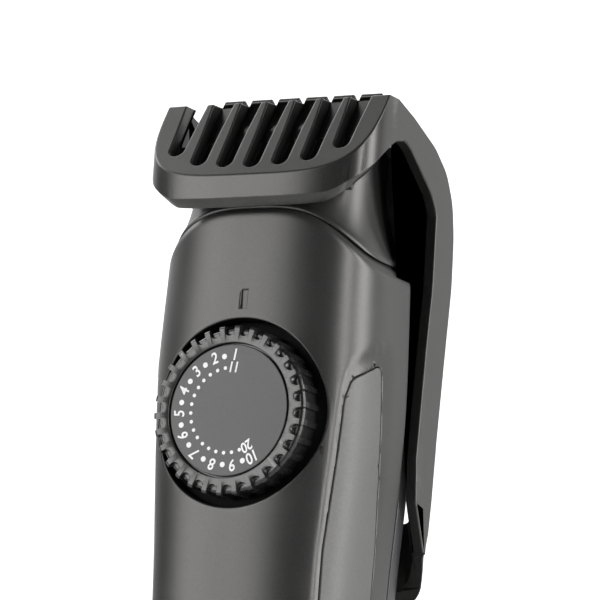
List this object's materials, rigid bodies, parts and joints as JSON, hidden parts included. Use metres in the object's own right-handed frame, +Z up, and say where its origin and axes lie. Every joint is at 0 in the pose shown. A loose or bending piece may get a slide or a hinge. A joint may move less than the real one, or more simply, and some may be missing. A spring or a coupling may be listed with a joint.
{
  "type": "beard trimmer",
  "caption": "Upright cordless beard trimmer with a round numbered length dial, side grips, a wedge blade head and a sliding comb on long side arms.",
  "frame": {"origin": "centre of the base, on the plane the trimmer stands on", "axes": "+Z up the handle to the head, -Y the front with the dial, +X the side to the right of the dial seen from the front"},
  "size_m": [0.0404, 0.0346, 0.1635],
  "materials": {
    "body_paint": "satin gunmetal paint on moulded plastic",
    "comb_gloss": "glossy dark grey moulded plastic",
    "grip_plastic": "fine matt texture, slightly lighter than the body",
    "black_plastic": "fine spark-eroded black",
    "dial_paint": "satin gunmetal paint, glossy black between the flutes",
    "dial_label_print": "flat grey disc with white printed numbers and dots",
    "seal_rubber": "soft black rubber",
    "blade_steel": "ground and polished stainless steel",
    "can_metal": "plain drawn can",
    "contact_brass": "plain stamped brass",
    "board_laminate": "green solder mask",
    "clear_lens": "translucent light guide"
  },
  "bodies": {
    "housing": {"front_shell": "body_paint", "rear_shell": "black_plastic", "base_cap": "black_plastic", "side_grip_left": "grip_plastic", "side_grip_right": "grip_plastic", "head_housing": "body_paint", "fixed_blade": "blade_steel", "blade_screw_left": "blade_steel", "blade_screw_right": "blade_steel", "blade_spring": "blade_steel", "detent_spring": "blade_steel", "motor": "can_metal", "motor_bracket": "black_plastic", "battery": "can_metal", "battery_contact_bottom": "contact_brass", "battery_contact_top": "contact_brass", "circuit_board": "board_laminate", "tact_switch": "black_plastic", "charge_led": "clear_lens", "button_seal": "seal_rubber", "charge_light": "clear_lens", "charging_socket": "black_plastic", "socket_pin_left": "contact_brass", "socket_pin_right": "contact_brass", "chassis": "black_plastic", "housing_screw_1": "blade_steel", "housing_screw_2": "blade_steel", "housing_screw_3": "blade_steel", "housing_screw_4": "blade_steel"},
    "dial": {"dial_knob": "dial_paint", "dial_label": "dial_label_print", "dial_pinion": "black_plastic", "dial_seal": "seal_rubber"},
    "carriage": {"comb_carriage": "black_plastic"},
    "comb": {"comb_attachment": "comb_gloss"},
    "cutter": {"moving_blade": "blade_steel", "cutter_yoke": "black_plastic"},
    "crank": {"motor_eccentric": "blade_steel"},
    "button": {"power_button": "comb_gloss"}
  },
  "joints": [
    {"name": "dial_turn", "type": "hinge", "parent": "housing", "child": "dial", "pos_m": [0, -0.012, 0.112], "axis": [0, 1, 0], "range_deg": [0, 216]},
    {"name": "carriage_slide", "type": "slide", "parent": "housing", "child": "carriage", "axis": [0, 0, 1], "range_m": [0, 0.009]},
    {"name": "comb_pull_off", "type": "slide", "parent": "carriage", "child": "comb", "axis": [0, 0, 1], "range_m": [0, 0.08]},
    {"name": "cutter_slide", "type": "slide", "parent": "housing", "child": "cutter", "axis": [1, 0, 0], "range_m": [-0.001, 0.001]},
    {"name": "crank_spin", "type": "hinge", "parent": "housing", "child": "crank", "pos_m": [0, 0.0005, 0.13], "axis": [0, 0, 1], "continuous": true},
    {"name": "button_press", "type": "slide", "parent": "housing", "child": "button", "axis": [0, 1, 0], "range_m": [0, 0.0008], "stiffness_N_per_m": 1500}
  ],
  "couplings": [
    {"joint": "dial_turn", "follows": "carriage_slide", "rad_per_m": 418.88}
  ]
}
